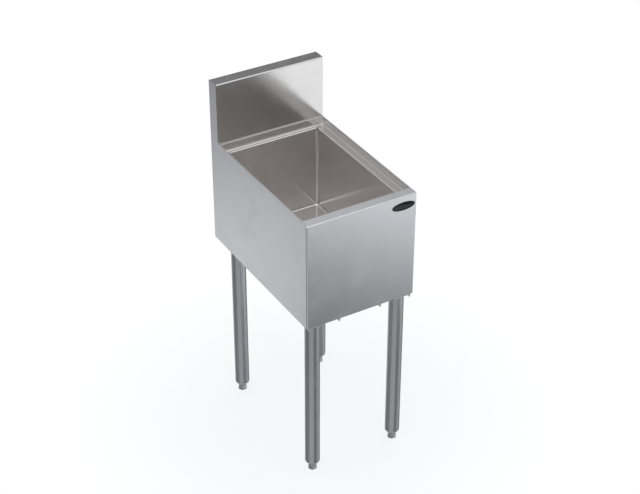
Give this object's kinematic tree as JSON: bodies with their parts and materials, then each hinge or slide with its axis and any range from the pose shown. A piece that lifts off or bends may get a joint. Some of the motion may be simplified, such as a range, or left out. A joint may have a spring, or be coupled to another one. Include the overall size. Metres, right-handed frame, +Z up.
{
  "type": "underbar ice bin",
  "caption": "Insulated stainless steel underbar ice bin on tubular legs with levelling feet, with a recessed ledge round the bin, a backsplash and a floor drain with a lift-out strainer.",
  "frame": {"origin": "on the floor, below the middle of the overall box", "axes": "+Z up, +Y towards the backsplash and the wall, +X to the right seen from the front"},
  "size_m": [0.3048, 0.4788, 0.9292],
  "materials": {
    "panel_steel": "satin",
    "liner_steel": "satin",
    "frame_steel": "satin",
    "leg_steel": "satin",
    "foot_steel": "satin",
    "drain_steel": "satin",
    "insert_nylon": "matte",
    "foam_board": "matte",
    "gasket_rubber": "matte",
    "badge_enamel": "gloss"
  },
  "bodies": {
    "cabinet": {"backsplash": "panel_steel", "badge_plate": "badge_enamel", "bin_liner": "liner_steel", "bottom_pan": "panel_steel", "channel_rivets": "frame_steel", "drain_body": "drain_steel", "drain_gasket": "gasket_rubber", "drain_locknut": "drain_steel", "foam_floor": "foam_board", "foam_front": "foam_board", "foam_left": "foam_board", "foam_rear": "foam_board", "foam_right": "foam_board", "foot_insert_front_left": "insert_nylon", "foot_insert_front_right": "insert_nylon", "foot_insert_rear_left": "insert_nylon", "foot_insert_rear_right": "insert_nylon", "front_panel": "panel_steel", "leg_channel_left": "frame_steel", "leg_channel_right": "frame_steel", "leg_set_screws": "leg_steel", "leg_socket_front_left": "frame_steel", "leg_socket_front_right": "frame_steel", "leg_socket_rear_left": "frame_steel", "leg_socket_rear_right": "frame_steel", "leg_tube_front_left": "leg_steel", "leg_tube_front_right": "leg_steel", "leg_tube_rear_left": "leg_steel", "leg_tube_rear_right": "leg_steel", "rear_panel": "panel_steel", "side_panel_left": "panel_steel", "side_panel_right": "panel_steel"},
    "levelling_foot_front_left": {"foot_front_left": "foot_steel"},
    "levelling_foot_front_right": {"foot_front_right": "foot_steel"},
    "levelling_foot_rear_left": {"foot_rear_left": "foot_steel"},
    "levelling_foot_rear_right": {"foot_rear_right": "foot_steel"},
    "strainer": {"drain_strainer": "drain_steel"}
  },
  "joints": [
    {"name": "foot_screw_front_left", "type": "slide", "parent": "cabinet", "child": "levelling_foot_front_left", "axis": [0, 0, -1], "range_m": [0, 0.025]},
    {"name": "foot_screw_front_right", "type": "slide", "parent": "cabinet", "child": "levelling_foot_front_right", "axis": [0, 0, -1], "range_m": [0, 0.025]},
    {"name": "foot_screw_rear_left", "type": "slide", "parent": "cabinet", "child": "levelling_foot_rear_left", "axis": [0, 0, -1], "range_m": [0, 0.025]},
    {"name": "foot_screw_rear_right", "type": "slide", "parent": "cabinet", "child": "levelling_foot_rear_right", "axis": [0, 0, -1], "range_m": [0, 0.025]},
    {"name": "strainer_lift", "type": "slide", "parent": "cabinet", "child": "strainer", "axis": [0, 0, 1], "range_m": [0, 0.3]}
  ]
}
